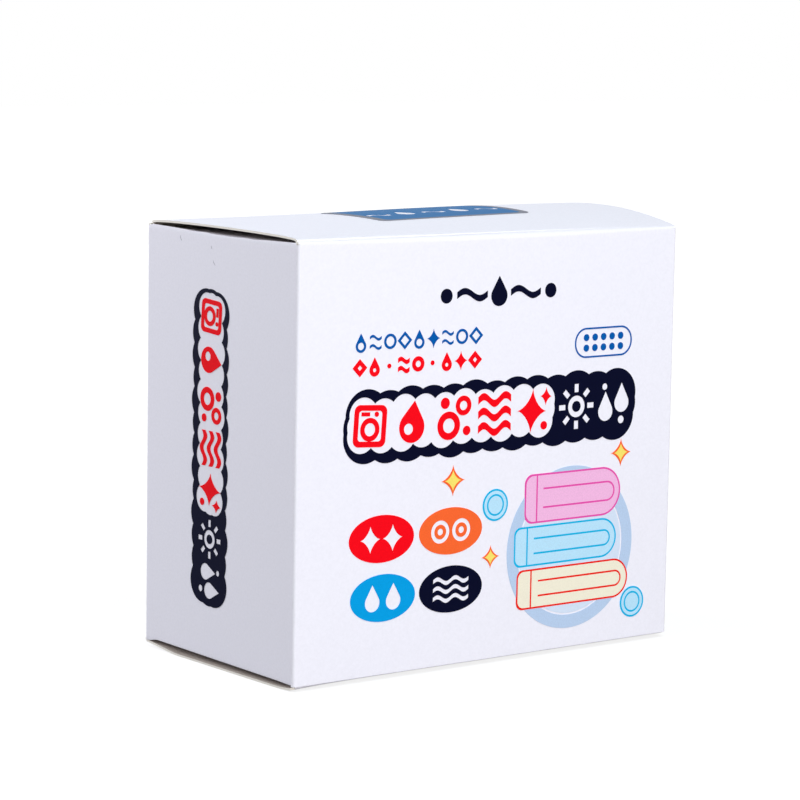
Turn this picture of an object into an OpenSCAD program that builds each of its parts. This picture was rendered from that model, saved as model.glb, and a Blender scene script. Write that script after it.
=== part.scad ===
/* [Carton] */
// Width of the carton along its front
carton_w = 112.8; // [104:0.1:124]
// Depth of the carton from front to back
carton_d = 60.7; // [54:0.1:70]
// Height of the front panel
carton_h = 100; // [92:0.1:115]
// Thickness of the paperboard
board = 0.5; // [0.35:0.05:0.6]
// Outer radius of the upright creases
crease_r = 0.8; // [0.7:0.05:1.5]
// How much lower the side panels' top creases lie than the front panel's top
side_drop = 0.8; // [0.5:0.1:1.6]
// How much higher the side panels' bottom creases lie than the front panel's bottom
side_rise = 0.9; // [0.5:0.1:1.6]
// Width of the glued seam flap inside the right side panel
seam_w = 12; // [8:1:18]
// Slant of the seam flap's two ends
seam_slant = 3; // [1:0.5:6]

/* [Dust flaps] */
// Length of each dust flap from its crease
flap_len = 29; // [20:1:36]
// Taper of a dust flap beside the closure's crease
flap_taper = 5; // [2:0.5:9]
// Shoulder of a dust flap beside the tuck
flap_shoulder = 3; // [2:0.5:5]

/* [Closures] */
// Length of the tuck flaps
tuck_len = 15; // [10:0.5:20]
// Radius of the tuck flaps' free corners
tuck_round = 7; // [3:0.5:9]
// Inset of the tuck flaps from the ends of their panel
tuck_inset = 1; // [0.5:0.1:2]
// Radius of the fold between a closure panel and its tuck flap
tuck_fold_r = 0.9; // [0.8:0.05:1.4]
// Radius of the lid's front fold at its two ends
fold_r_end = 0.7; // [0.65:0.05:1]
// Radius of the lid's front fold at mid width, where the crease is soft
fold_r_mid = 1.5; // [1:0.1:1.6]
// Quick rise of the lid's left edge over the dust flap
lid_step = 1.2; // [0.6:0.1:1.6]
// Rise of the lid's back fold at its left end
back_rise = 0.25; // [0:0.05:0.5]
// Rise of the lid's springy arch at its right end
lid_arch = 3.9; // [1:0.1:6]
// How far the bottom panel sags below the walls
floor_drop = 1.3; // [0.8:0.1:2]
// Length of the slope between the bottom panel's crease and its flat part
floor_slope = 12; // [8:1:20]
// How far the bottom panel's front fold hangs below the front panel
floor_front = 0.35; // [0.2:0.05:0.7]
// Length of the slope between the bottom panel's flat part and its front fold
floor_front_slope = 7; // [5:1:15]

/* [Sachets] */
// Number of wrapped tablets in the row
sachet_count = 10; // [8:1:12]
// Free height above the sachets
headroom = 9; // [6:0.5:16]
// Height of the crimped seals at a sachet's two ends
crimp_h = 8; // [5:0.5:12]
// Thickness of the crimped film
film_t = 0.6; // [0.4:0.1:1]
// Radius of the tablet that shows through the film
tablet_r = 20; // [16:0.5:22]

/* [Print] */
// Height at which the printed fields stand proud of the board
ink = 0.1; // [0.06:0.01:0.15]
// Length of the headline band on the front
band_l = 86.6; // [80:0.1:92]
// Length of the headline band on the side
side_band_l = 73; // [60:0.5:80]
// Width of the label on the lid
label_w = 45; // [36:0.5:56]
// Depth of the label on the lid
label_d = 25.5; // [18:0.5:32]
// Width of the label's silver border along its front and back
label_border = 1.1; // [0.5:0.1:2]
// Width of the label's silver border at its two ends
label_end = 2.2; // [1:0.1:3]

/* [Hidden] */
$fn = 48;
// Clearance between sheets that slide on each other
slip = 0.15;
// Clearance of a tuck flap that swings past the opposite wall
swing_gap = 0.1;
// Gap between a dust flap's long edges and the walls beside them
flap_gap = 0.6;
// Room between a dust flap and the tuck flap that swings past its edge
tuck_room = 0.8;
// Shares of a dust flap's length at which its taper starts and its shoulder ends
taper_share = 0.3;
shoulder_share = 0.5;
// Distance of the seam flap's ends from the side panels' creases
seam_gap = 1;
// Clearance between a sachet and what it stands on or beside
rest_gap = 0.1;
// Clearance between one sachet and the next
row_gap = 0.5;
// Distance between a fold's flat end and the hinge line or panel past it
fold_gap = 0.1;
// Height of the lid's hinge line below the front panel's top
hinge_drop = fold_r_mid + fold_gap;
// Radius of the bottom panel's crease, and the height of its hinge line
floor_fold_r = side_rise - fold_gap;
// Sag of the bottom panel right at its crease
floor_step = 0.35;
// How far a cutting shape reaches past what it cuts
past = 1;

wall_z0 = floor_drop;
wall_z1 = wall_z0 + carton_h;
side_z0 = wall_z0 + side_rise;
side_z1 = wall_z1 - side_drop;
lid_hinge_z = wall_z1 - hinge_drop;
floor_hinge_z = wall_z0 + floor_fold_r;
inner_w = carton_w - 2 * board;
closure_w = carton_w - 2 * slip;
// Reach of a closure panel from its crease to the outer face of its tuck flap
closure_d = carton_d - board - slip;

function lean(hinge_rise) =
    closure_d - sqrt(pow(carton_d - board - swing_gap, 2) - pow(tuck_len - hinge_rise, 2));

lid_lean = lean(hinge_drop);
floor_lean = lean(floor_fold_r);
// Depth that the two leaning tuck flaps leave for the sachets
sachet_w = carton_d - 2 * (board + slip + board) - lid_lean - floor_lean - 4 * rest_gap;
sachet_y = (floor_lean - lid_lean) / 2;
sachet_pitch = (inner_w - board - 2 * rest_gap) / sachet_count;
sachet_t = sachet_pitch - row_gap;
flap_seat_z = side_z0 + board + rest_gap;
sachet_h = wall_z1 - headroom - flap_seat_z;

navy = [0.09, 0.14, 0.29];
red = [0.92, 0.07, 0.18];
orange = [0.95, 0.44, 0.16];
blue = [0.08, 0.58, 0.83];
ink_blue = [0.13, 0.44, 0.72];
paper = [0.95, 0.95, 0.98];

function sachet_name(i) = str("sachet_", i < 10 ? "0" : "", i);

// The printed fields on the front and left side widen the whole by their own height
module place() translate([ink / 2, ink / 2, 0]) children();

module rounded_rect(w, h, r) {
    square([w - 2 * r, h], center = true);
    square([w, h - 2 * r], center = true);
    for (sx = [-1, 1], sy = [-1, 1])
        translate([sx * (w / 2 - r), sy * (h / 2 - r)]) circle(r);
}

// A closed sheet between two grids of points, given as rows along +X and columns upwards
module shell(outer, inner) {
    ni = len(outer);
    nj = len(outer[0]);
    flat_outer = [for (row = outer) for (p = row) p];
    flat_inner = [for (row = inner) for (p = row) p];
    o = function (i, j) i * nj + j;
    n = function (i, j) ni * nj + i * nj + j;
    faces = concat(
        [for (i = [0 : ni - 2], j = [0 : nj - 2]) each [
            [o(i, j), o(i, j + 1), o(i + 1, j + 1)],
            [o(i, j), o(i + 1, j + 1), o(i + 1, j)],
            [n(i, j), n(i + 1, j + 1), n(i, j + 1)],
            [n(i, j), n(i + 1, j), n(i + 1, j + 1)]]],
        [for (i = [0 : ni - 2]) each [
            [o(i, 0), o(i + 1, 0), n(i + 1, 0)],
            [o(i, 0), n(i + 1, 0), n(i, 0)],
            [o(i + 1, nj - 1), o(i, nj - 1), n(i, nj - 1)],
            [o(i + 1, nj - 1), n(i, nj - 1), n(i + 1, nj - 1)]]],
        [for (j = [0 : nj - 2]) each [
            [o(0, j + 1), o(0, j), n(0, j)],
            [o(0, j + 1), n(0, j), n(0, j + 1)],
            [o(ni - 1, j), o(ni - 1, j + 1), n(ni - 1, j + 1)],
            [o(ni - 1, j), n(ni - 1, j + 1), n(ni - 1, j)]]]);
    polyhedron(concat(flat_outer, flat_inner), faces);
}

// Carton: four panels around, four dust flaps and the glued seam, all one folded sheet

module wall_ring() difference() {
    rounded_rect(carton_w, carton_d, crease_r);
    rounded_rect(inner_w, carton_d - 2 * board, crease_r - board);
}

module ring_part(y0, y1) intersection() {
    wall_ring();
    translate([-carton_w, y0]) square([2 * carton_w, y1 - y0]);
}

module panels() {
    corner_y = carton_d / 2 - crease_r;
    translate([0, 0, wall_z0]) linear_extrude(lid_hinge_z - wall_z0)
        ring_part(-carton_d / 2, -corner_y);
    translate([0, 0, floor_hinge_z]) linear_extrude(wall_z1 - floor_hinge_z)
        ring_part(corner_y, carton_d / 2);
    translate([0, 0, side_z0 + crease_r]) linear_extrude(side_z1 - side_z0 - 2 * crease_r)
        ring_part(-corner_y, corner_y);
}

// Right side panel's dust flap with its crease, seen from above, the tuck towards +Y
module flap_outline() {
    free_y = carton_d / 2 - board - flap_gap;
    polygon([
        [0, -free_y],
        [flap_len * taper_share, -free_y],
        [flap_len, -free_y + flap_taper],
        [flap_len, free_y - 2 * flap_shoulder],
        [flap_len * shoulder_share, free_y - flap_shoulder],
        [flap_shoulder, free_y - flap_shoulder],
        [crease_r, free_y - tuck_room],
        [0, free_y - tuck_room]]);
}

module dust_flap() {
    fold_y = carton_d / 2 - crease_r;
    translate([-carton_w / 2 + crease_r, 0, -board]) linear_extrude(board) flap_outline();
    translate([-carton_w / 2 + crease_r, fold_y, -crease_r]) rotate([90, 0, 0])
        linear_extrude(2 * fold_y) intersection() {
            difference() {
                circle(crease_r);
                circle(crease_r - board);
            }
            translate([-crease_r, 0]) square(crease_r);
        }
}

module seam_flap() {
    end_z0 = side_z0 + crease_r + seam_gap;
    end_z1 = side_z1 - crease_r - seam_gap;
    back_y = carton_d / 2 - board;
    translate([inner_w / 2 - board, 0, 0]) rotate([90, 0, 90]) linear_extrude(board)
        polygon([
            [back_y, end_z0],
            [back_y, end_z1],
            [back_y - seam_w, end_z1 - seam_slant],
            [back_y - seam_w, end_z0 + seam_slant]]);
}

module carton() color(paper) place() {
    panels();
    seam_flap();
    for (side = [0, 1]) mirror([side, 0, 0]) {
        translate([0, 0, side_z1]) dust_flap();
        translate([0, 0, side_z0]) mirror([0, 0, 1]) mirror([0, 1, 0]) dust_flap();
    }
}

// Top lid: an arched panel with a soft front fold and a tuck flap, one lofted sheet.
// u runs from -1 at the left end to 1 at the right end.
// A profile's points are [distance behind the front face, height above the walls, end inset].

lid_stations = 14;
lid_rows = 12;
// Turn between two facets of a fold
fold_step = 18;
// Powers that shape the arch along the lid and the step up from its two creases
arch_power = 1.7;
bow_power = 0.76;
step_power = 0.25;
lid_u = [for (i = [0 : lid_stations]) 2 * i / lid_stations - 1];

function fold_r(u) = fold_r_end + (fold_r_mid - fold_r_end) * cos(90 * u);
function arch_rise(u) = lid_arch * (1 - pow((1 - u) / 2, arch_power));
function back_lift(u) = back_rise * (1 - u) / 2;
function lid_lift(u, s) =
    let (bow = 4 * s * (1 - s))
    lid_step * (1 - u) / 2 * pow(bow, step_power) + back_lift(u) * s * s * (3 - 2 * s)
        + arch_rise(u) * pow(bow, bow_power);
function row_share(k) = (1 - cos(180 * k / lid_rows)) / 2;

function panel_part(u) =
    let (r = fold_r(u))
    [for (k = [1 : lid_rows - 1])
        let (s = row_share(k))
        [r + s * (closure_d - tuck_fold_r - r), lid_lift(u, s), 0]];

function tuck_point(u, drop, inset) = [
    closure_d - lid_lean * (drop - tuck_fold_r) / (tuck_len - tuck_fold_r),
    back_lift(u) - drop,
    inset];

function lid_profile(u) =
    let (r = fold_r(u))
    concat(
        [[0, slip / 3 - hinge_drop, 0]],
        [for (a = [0 : fold_step : 90]) [r - r * cos(a), r * sin(a) - r, 0]],
        panel_part(u),
        [for (a = [90 : -fold_step : 0])
            [closure_d - tuck_fold_r * (1 - cos(a)),
             back_lift(u) + tuck_fold_r * (sin(a) - 1),
             a < 90 ? tuck_inset : 0]],
        [for (b = [0 : 30 : 90])
            tuck_point(u, tuck_len - tuck_round * (1 - sin(b)), tuck_inset + tuck_round * (1 - cos(b)))]);

function sheet_normal(p, j) =
    let (a = p[max(j - 1, 0)], b = p[min(j + 1, len(p) - 1)], d = [b[1] - a[1], a[0] - b[0]])
    d / norm(d);

function lid_point(u, q) = [
    u * (closure_w / 2 - q[2]),
    q[0] - carton_d / 2,
    wall_z1 + q[1]];

function lid_outer(u) = [for (q = lid_profile(u)) lid_point(u, q)];
function lid_inner(u) =
    let (p = lid_profile(u))
    [for (j = [0 : len(p) - 1])
        let (nrm = sheet_normal(p, j))
        lid_point(u, [p[j][0] + board * nrm[0], p[j][1] + board * nrm[1], p[j][2]])];

module top_lid() color(paper) place()
    shell([for (u = lid_u) lid_outer(u)], [for (u = lid_u) lid_inner(u)]);

// Bottom lid: a panel that sags flat below the walls, its crease at the back, its tuck in front

function floor_sag(v) = min(
    floor_drop,
    floor_step + (floor_drop - floor_step) * (v - floor_fold_r) / floor_slope,
    floor_front + (floor_drop - floor_front) * (closure_d - tuck_fold_r - v) / floor_front_slope);

function floor_profile(off) =
    let (r = floor_fold_r, f = tuck_fold_r, flat_v = floor_fold_r + floor_slope)
    concat(
        [[off, -r]],
        [for (a = [fold_step : fold_step : 90])
            [r - (r - off) * cos(a), (r + floor_step - off) * sin(a) - r]],
        [[flat_v, floor_drop - off]],
        [[closure_d - f - floor_front_slope, floor_drop - off]],
        [for (a = [90 : -fold_step : 0])
            [closure_d - f + (f - off) * cos(a), floor_front - f + (f - off) * sin(a)]],
        [[closure_d - floor_lean - off, -tuck_len]]);

// Depth of the cuts that shape the tuck, from the front panel's inner face
tuck_cut = 5;

module tuck_corner_cut() difference() {
    translate([0, -past]) square(tuck_round + 2 * past);
    circle(tuck_round);
}

module bottom_lid() color(paper) place() difference() {
    outer_line = floor_profile(0);
    inner_line = floor_profile(board);
    back = len(inner_line) - 1;
    fold_z1 = wall_z0 - floor_front + tuck_fold_r;
    translate([0, carton_d / 2, wall_z0]) rotate([90, 0, -90])
        linear_extrude(closure_w, center = true)
            mirror([0, 1])
                polygon(concat(outer_line, [for (k = [0 : back]) inner_line[back - k]]));
    for (side = [0, 1]) mirror([side, 0, 0])
        translate([closure_w / 2 - tuck_inset - tuck_round, -carton_d / 2 + board + tuck_cut, 0])
            rotate([90, 0, 0]) linear_extrude(tuck_cut + board) {
                translate([0, wall_z0 + tuck_len - tuck_round]) tuck_corner_cut();
                translate([tuck_round, fold_z1]) square([tuck_inset + past, tuck_len + past]);
            }
    for (side = [0, 1]) mirror([side, 0, 0])
        translate([closure_w / 2 - tuck_inset, crease_r + slip - carton_d / 2, wall_z0 - slip])
            rotate([90, 0, 0]) linear_extrude(crease_r + slip)
                square([tuck_inset + past, fold_z1 + slip - wall_z0 + past]);
}

// Sachets: sealed film wrappers with a round tablet inside, standing in a row

sachet_columns = [-1, -0.9, -0.76, -0.55, -0.28, 0, 0.28, 0.55, 0.76, 0.9, 1];
sachet_levels = 13;
tablet_z = crimp_h + tablet_r + 4;

function sachet_half(x, z) =
    let (r = norm([x, z - tablet_z]), p = 2 * abs(x) / sachet_w,
         seam = min(1, max(0, min(z - crimp_h, sachet_h - crimp_h - z) / 4)),
         slack = 0.22 * (1 - pow(p, 4)) * pow(seam, 0.5),
         disc = 1 / (1 + pow(r / tablet_r, 8)))
    film_t / 2 + (sachet_t - film_t) / 2 * (1 - pow(p, 6)) * seam * max(slack, disc);

function sachet_z(j) =
    j == 0 ? 0 : j == sachet_levels ? sachet_h
        : crimp_h + (sachet_h - 2 * crimp_h) * (j - 1) / (sachet_levels - 2);

function sachet_side(face) = [for (p = sachet_columns) [for (j = [0 : sachet_levels])
    let (x = p * sachet_w / 2, z = sachet_z(j))
    [x, face * sachet_half(x, z), z]]];

function sachet_x(i) = -inner_w / 2 + rest_gap + (i - 0.5) * sachet_pitch;

// The middle sachets reach down between the dust flaps, to the bottom panel's slopes
function seat_z(i) =
    let (back_v = carton_d / 2 - sachet_y - sachet_w / 2)
    abs(sachet_x(i)) > carton_w / 2 - crease_r - flap_len - film_t ? flap_seat_z
        : wall_z0 - min(floor_sag(back_v), floor_sag(back_v + sachet_w)) + board + 2 * rest_gap;

module sachet(i) color([0.80, 0.86, 0.93]) place()
    translate([sachet_x(i), sachet_y, seat_z(i)]) rotate([0, 0, 90])
        shell(sachet_side(-1), sachet_side(1));

// Placing of flat artwork. The front's is drawn in millimetres on a sheet of its own,
// from the sheet's lower left corner, and is scaled to the front panel.

art_w = 112.8;
art_h = 100;
art_scale = min(carton_w / art_w, carton_h / art_h);

// Centre of the side's band, measured from the middle of the side panel
side_band_y = 3.2;
side_band_z = -0.2;

module on_front()
    place() translate([0, -carton_d / 2, wall_z0 + carton_h / 2]) rotate([90, 0, 0])
        linear_extrude(ink) scale(art_scale) translate([-art_w / 2, -art_h / 2]) children();

// The side's band is the front's, drawn smaller and turned to read downwards
module on_side()
    place() translate([-carton_w / 2, side_band_y, wall_z0 + carton_h / 2 + side_band_z])
        rotate([90, 0, -90])
        linear_extrude(ink) scale(side_band_l / band_l) rotate(-90) children();

// Motifs

module oval(rx, ry) polygon([for (a = [0 : 7.5 : 352.5]) [rx * cos(a), ry * sin(a)]]);

module drop(r, tip) {
    half = r * sqrt(1 - pow(r / tip, 2));
    circle(r);
    polygon([[0, tip], [-half, r * r / tip], [half, r * r / tip]]);
}

module ring(r, stroke) difference() {
    circle(r);
    circle(r - stroke);
}

module sparkle(rx, ry)
    polygon([for (a = [0 : 10 : 350]) [rx * pow(cos(a), 3), ry * pow(sin(a), 3)]]);

module wave(length, rise, stroke, turns) {
    top = [for (k = [0 : 24]) [length * (k / 24 - 0.5), rise * sin(360 * turns * k / 24)]];
    polygon(concat(
        [for (p = top) [p[0], p[1] + stroke / 2]],
        [for (k = [0 : 24]) [top[24 - k][0], top[24 - k][1] - stroke / 2]]));
}

// Headline band: five red pictograms on a foamy white patch and two white ones on navy

cell = 12.1;
patch_half = 6.4;
patch_l = 5 * cell;
outline_w = 1.9;
lobe_r = 4;
slant = 0.13;

// How far the lobes swell above and below their line
lobe_sway = 0.35;
lobe_turn = 140;
end_lobe_out = 0.6;
end_lobe_r = 3.7;

// Rows of lobes along both edges of a band, each lobe's radius grown by the same amount
module foam(l, grow) {
    run = l - 2 * lobe_r;
    count = round(2 * run / cell);
    reach = patch_half - lobe_r;
    for (k = [0 : count], s = [-1, 1])
        translate([
            run * (k / count - 0.5) + slant * s * reach,
            s * (reach + lobe_sway * s * cos(lobe_turn * k + 40 * s))])
            circle(lobe_r + grow);
    for (s = [-1, 1]) translate([s * (run / 2 + end_lobe_out), 0]) circle(end_lobe_r + grow);
}

module band_patch() translate([-cell - 0.1, 0]) foam(patch_l, 0);

module washer_sign() {
    difference() {
        rounded_rect(9.2, 9.6, 1.6);
        rounded_rect(6.6, 7, 0.8);
    }
    translate([0, -0.8]) ring(2.7, 1.2);
    translate([1.7, 2.7]) circle(0.6);
    translate([-1.4, 2.7]) square([2.4, 0.9], center = true);
}

module drop_sign() difference() {
    translate([0, -1.2]) drop(3.6, 6.1);
    translate([-0.9, -1.7]) circle(1.3);
}

module bubble_sign() {
    translate([-1.5, -1.7]) ring(3.3, 1.6);
    translate([2.8, 2.7]) ring(2.3, 1.2);
    translate([-2.6, 3.6]) circle(1.3);
    translate([3.8, -3.2]) circle(1.1);
}

module wave_sign() for (k = [-1 : 1]) translate([0, 3.4 * k]) wave(9.8, 0.9, 1.7, 1.5);

module shine_sign() {
    translate([-0.6, -0.2]) sparkle(4.4, 5.2);
    translate([3.5, 3.3]) sparkle(1.7, 2.1);
    translate([3.4, -3.6]) circle(1);
}

module spin_sign() {
    ring(2.6, 1.3);
    for (a = [0 : 45 : 315]) rotate(a) translate([4.4, 0]) square([2, 1.3], center = true);
}

module rinse_sign() {
    translate([-2.5, -1.7]) drop(2.3, 4.9);
    translate([2.6, 0.1]) drop(2.3, 4.9);
    translate([2.5, -4]) circle(0.95);
    translate([-2.8, 4.3]) circle(0.8);
}

module band_red() {
    translate([-3 * cell, 0]) rotate(-4) washer_sign();
    translate([-2 * cell, 0]) rotate(-8) drop_sign();
    translate([-cell, 0]) bubble_sign();
    wave_sign();
    translate([cell - 0.2, 0]) rotate(-4) shine_sign();
}

module band_navy() difference() {
    translate([0, -0.3]) foam(band_l - 2 * outline_w, outline_w + 0.2);
    band_patch();
    translate([2 * cell + 0.9, -0.1]) spin_sign();
    translate([3 * cell + 0.5, -0.3]) rinse_sign();
}

// Rows of small motifs where a pack has its lines of print

module small_motif(kind, stroke) {
    if (kind == "drop") translate([0, -0.7]) difference() {
        drop(1.45, 2.9);
        circle(1.45 - stroke);
    }
    if (kind == "wave") for (s = [-1, 1]) translate([0, s * 1.05]) wave(3.3, 0.4, stroke, 1);
    if (kind == "ring") ring(1.75, stroke);
    if (kind == "star") sparkle(1.9, 2.2);
    if (kind == "tile") rotate(45) difference() {
        square(2.9, center = true);
        square(2.9 - 2 * stroke, center = true);
    }
    if (kind == "dot") circle(0.55);
}

fine_kinds = ["drop", "wave", "ring", "tile", "drop", "star", "wave", "ring", "tile"];
bold_kinds = ["tile", "drop", "dot", "wave", "ring", "dot", "drop", "star", "tile"];

module motif_row(kinds, stroke) for (k = [0 : len(kinds) - 1])
    translate([k * row_pitch, 0]) small_motif(kinds[k], stroke);

module top_ornament() {
    translate([0, -0.6]) drop(2.4, 4.6);
    for (s = [-1, 1]) {
        translate([s * 8, 0]) wave(9, 0.9, 1.5, 1);
        translate([s * 15.6, 0]) circle(1.7);
    }
}

// Four coloured ovals

oval_rx = 9.3;
oval_ry = 5.5;

module oval_signs_red() for (s = [-1, 1]) translate([3.2 * s, 0]) sparkle(2.9, 3.4);
module oval_signs_orange() for (s = [-1, 1]) translate([3.1 * s, 0]) {
    ring(2.7, 1);
    circle(0.8);
}
module oval_signs_blue() for (s = [-1, 1]) translate([3 * s, -0.9]) drop(2.1, 4.2);
module oval_signs_navy() for (k = [-1 : 1]) translate([0, 2.1 * k]) wave(10.5, 0.55, 1, 2);

// Picture: a porthole with a pile of folded towels before it, and two round tablets

port = [81, 24.2];
port_r = 19.6;
port_w = 3.2;
line_w = 0.45;

// A folded towel seen from its side, with the round fold at the right end
module towel_body(w, h) {
    translate([-h * 0.1, 0]) square([w - h * 0.8, h], center = true);
    translate([(w - h) / 2, 0]) circle(h / 2);
    translate([-(w - h) / 2, 0]) rounded_rect(h, h, h * 0.2);
}

module towel_lines(w, h) {
    difference() {
        towel_body(w, h);
        towel_body(w - 2 * line_w, h - 2 * line_w);
    }
    translate([w * 0.04, 0]) difference() {
        towel_body(w * 0.8, h * 0.42);
        towel_body(w * 0.8 - 2 * line_w, h * 0.42 - 2 * line_w);
        translate([-w * 0.4, 0]) square([w * 0.1, h], center = true);
    }
    translate([-w * 0.36 - line_w, 0]) square([line_w, h - line_w], center = true);
}

// Towels from the bottom of the pile: [centre x, centre z, width, height]
towel_cream = [82, 15.2, 35, 9.6];
towel_aqua = [79.5, 25.5, 32, 9.6];
towel_pink = [81.5, 36.8, 30, 11.8];

module towel(t) translate([t[0], t[1]]) towel_body(t[2], t[3]);
module towel_edge(t) translate([t[0], t[1]]) towel_lines(t[2], t[3]);
module towel_fill(t) difference() {
    towel(t);
    towel_edge(t);
}

tablet_spots = [[57.6, 36.4], [101.2, 8.8]];
tablet_sign_r = 3.8;

module tablet_edges() for (p = tablet_spots) translate(p) {
    ring(tablet_sign_r, line_w);
    ring(tablet_sign_r * 0.68, line_w);
}
module tablet_fills() difference() {
    for (p = tablet_spots) translate(p) circle(tablet_sign_r - line_w);
    tablet_edges();
}

module before_port() {
    towel(towel_cream);
    towel(towel_aqua);
    towel(towel_pink);
    for (p = tablet_spots) translate(p) circle(tablet_sign_r + line_w);
}

module port_ring() difference() {
    translate(port) ring(port_r, port_w);
    before_port();
}

// The glass inside the ring
module port_glass() difference() {
    translate(port) circle(port_r - port_w - line_w);
    before_port();
}

// Star places: [x, z, half width, half height]
stars = [[44.8, 43.2, 3.5, 3.6], [96.4, 45.8, 3.2, 3.3], [56.4, 24.2, 2.7, 2.7]];

module star_fill() for (s = stars) translate([s[0], s[1]]) sparkle(s[2] * 0.7, s[3] * 0.7);
module star_edge() difference() {
    for (s = stars) translate([s[0], s[1]]) sparkle(s[2], s[3]);
    star_fill();
}

// Places on the front's sheet
band_at = [56.8, 57.9];
band_tilt = 0.4;
ornament_at = [57.5, 86.1];
fine_row_at = [17.6, 76.6];
bold_row_at = [17.4, 71];
row_pitch = 4.15;
badge_at = [90, 73];
red_oval_at = [24.3, 31.5];
orange_oval_at = [44.4, 31.5];
sky_oval_at = [24.9, 17.8];
navy_oval_at = [44.7, 17.8];

// Badge with one dot for each tablet
badge_l = 18;
badge_h = 7.2;
badge_line = 0.4;

module badge() {
    difference() {
        rounded_rect(badge_l, badge_h, badge_h / 2 - 0.1);
        rounded_rect(badge_l - 2 * badge_line, badge_h - 2 * badge_line, badge_h / 2 - badge_line - 0.1);
    }
    for (i = [-2 : 2], j = [-1, 1]) translate([2.7 * i, 1.25 * j]) circle(0.85);
}

module print_navy() color(navy) {
    on_front() {
        translate(band_at) rotate(band_tilt) band_navy();
        translate(ornament_at) top_ornament();
        translate(navy_oval_at) difference() {
            oval(oval_rx, oval_ry);
            oval_signs_navy();
        }
    }
    on_side() band_navy();
}

module print_red() color(red) {
    on_front() {
        translate(band_at) rotate(band_tilt) band_red();
        translate(bold_row_at) motif_row(bold_kinds, 1);
        translate(red_oval_at) difference() {
            oval(oval_rx, oval_ry);
            oval_signs_red();
        }
    }
    on_side() band_red();
}

module print_blue() color(ink_blue) on_front() {
    translate(fine_row_at) motif_row(fine_kinds, 0.6);
    translate(badge_at) badge();
}

module print_sky() color(blue) on_front() translate(sky_oval_at) difference() {
    oval(oval_rx, oval_ry);
    oval_signs_blue();
}

module print_orange() color(orange) on_front() {
    translate(orange_oval_at) difference() {
        oval(oval_rx, oval_ry);
        oval_signs_orange();
    }
    star_edge();
}

module print_yellow() color([0.98, 0.83, 0.35]) on_front() star_fill();
module print_pink() color([0.95, 0.70, 0.86]) on_front() towel_fill(towel_pink);
module print_rose() color([0.89, 0.40, 0.66]) on_front() towel_edge(towel_pink);

module print_aqua() color([0.68, 0.88, 0.95]) on_front() {
    towel_fill(towel_aqua);
    tablet_fills();
}

module print_cyan() color([0.15, 0.70, 0.89]) on_front() {
    towel_edge(towel_aqua);
    tablet_edges();
}

module print_cream() color([0.97, 0.93, 0.82]) on_front() towel_fill(towel_cream);
module print_coral() color([0.90, 0.30, 0.20]) on_front() towel_edge(towel_cream);
module print_porthole() color([0.74, 0.83, 0.92]) on_front() port_ring();
module print_mist() color([0.88, 0.92, 0.97]) on_front() port_glass();

// Label on the arched lid: its sheet repeats the lid's own facets

module lid_skin() {
    outer = [for (u = lid_u) [for (q = panel_part(u)) lid_point(u, q + [0, ink, 0])]];
    inner = [for (u = lid_u) [for (q = panel_part(u)) lid_point(u, q)]];
    place() shell(outer, inner);
}

// Distance of the label's middle from the lid's, to the right
label_x = 2.7;
label_round = 2;
label_inner_round = 1.6;

module on_lid() intersection() {
    lid_skin();
    translate([label_x, 0, wall_z1 - past]) linear_extrude(lid_arch + lid_step + 2 * past) children();
}

label_motifs = 5;
label_pitch = (label_w - 2 * label_end) / label_motifs;

module label_inside()
    rounded_rect(label_w - 2 * label_end, label_d - 2 * label_border, label_inner_round);

module label_field() difference() {
    label_inside();
    for (k = [0 : label_motifs - 1]) translate([label_pitch * (k - (label_motifs - 1) / 2), -3])
        if (k % 2 == 0) wave(0.8 * label_pitch, 0.9, 2, 1);
        else drop(2.3, 5);
}

module lid_label_blue() color([0.29, 0.52, 0.75]) on_lid() label_field();

module lid_label_silver() color([0.68, 0.69, 0.74]) on_lid() difference() {
    rounded_rect(label_w, label_d, label_round);
    label_inside();
}

carton();
top_lid();
bottom_lid();
for (i = [1 : sachet_count]) sachet(i);
print_navy();
print_red();
print_blue();
print_sky();
print_orange();
print_yellow();
print_pink();
print_rose();
print_aqua();
print_cyan();
print_cream();
print_coral();
print_porthole();
print_mist();
lid_label_blue();
lid_label_silver();
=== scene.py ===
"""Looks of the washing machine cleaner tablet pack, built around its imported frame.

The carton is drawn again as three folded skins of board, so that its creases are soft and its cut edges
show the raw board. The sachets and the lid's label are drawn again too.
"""

import math
import random

import bmesh
import bpy
import numpy as np
from mathutils import Matrix, Vector

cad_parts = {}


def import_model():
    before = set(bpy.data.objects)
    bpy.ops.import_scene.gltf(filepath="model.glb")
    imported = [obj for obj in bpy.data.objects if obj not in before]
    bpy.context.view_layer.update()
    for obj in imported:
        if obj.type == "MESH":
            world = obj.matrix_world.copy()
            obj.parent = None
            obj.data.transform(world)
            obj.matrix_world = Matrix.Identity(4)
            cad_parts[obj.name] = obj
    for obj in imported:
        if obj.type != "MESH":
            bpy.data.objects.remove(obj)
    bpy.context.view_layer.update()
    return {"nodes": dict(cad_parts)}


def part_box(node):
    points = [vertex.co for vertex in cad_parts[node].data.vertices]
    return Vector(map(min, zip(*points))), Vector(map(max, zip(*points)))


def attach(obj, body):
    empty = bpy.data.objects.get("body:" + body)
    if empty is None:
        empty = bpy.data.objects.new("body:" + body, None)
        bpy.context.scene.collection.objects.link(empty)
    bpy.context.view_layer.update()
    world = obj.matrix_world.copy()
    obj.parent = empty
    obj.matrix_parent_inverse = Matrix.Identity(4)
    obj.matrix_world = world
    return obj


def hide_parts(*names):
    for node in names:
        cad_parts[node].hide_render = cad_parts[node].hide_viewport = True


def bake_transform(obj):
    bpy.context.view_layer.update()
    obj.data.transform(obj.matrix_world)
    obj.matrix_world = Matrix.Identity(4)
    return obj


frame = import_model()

MM = 0.001

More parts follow.
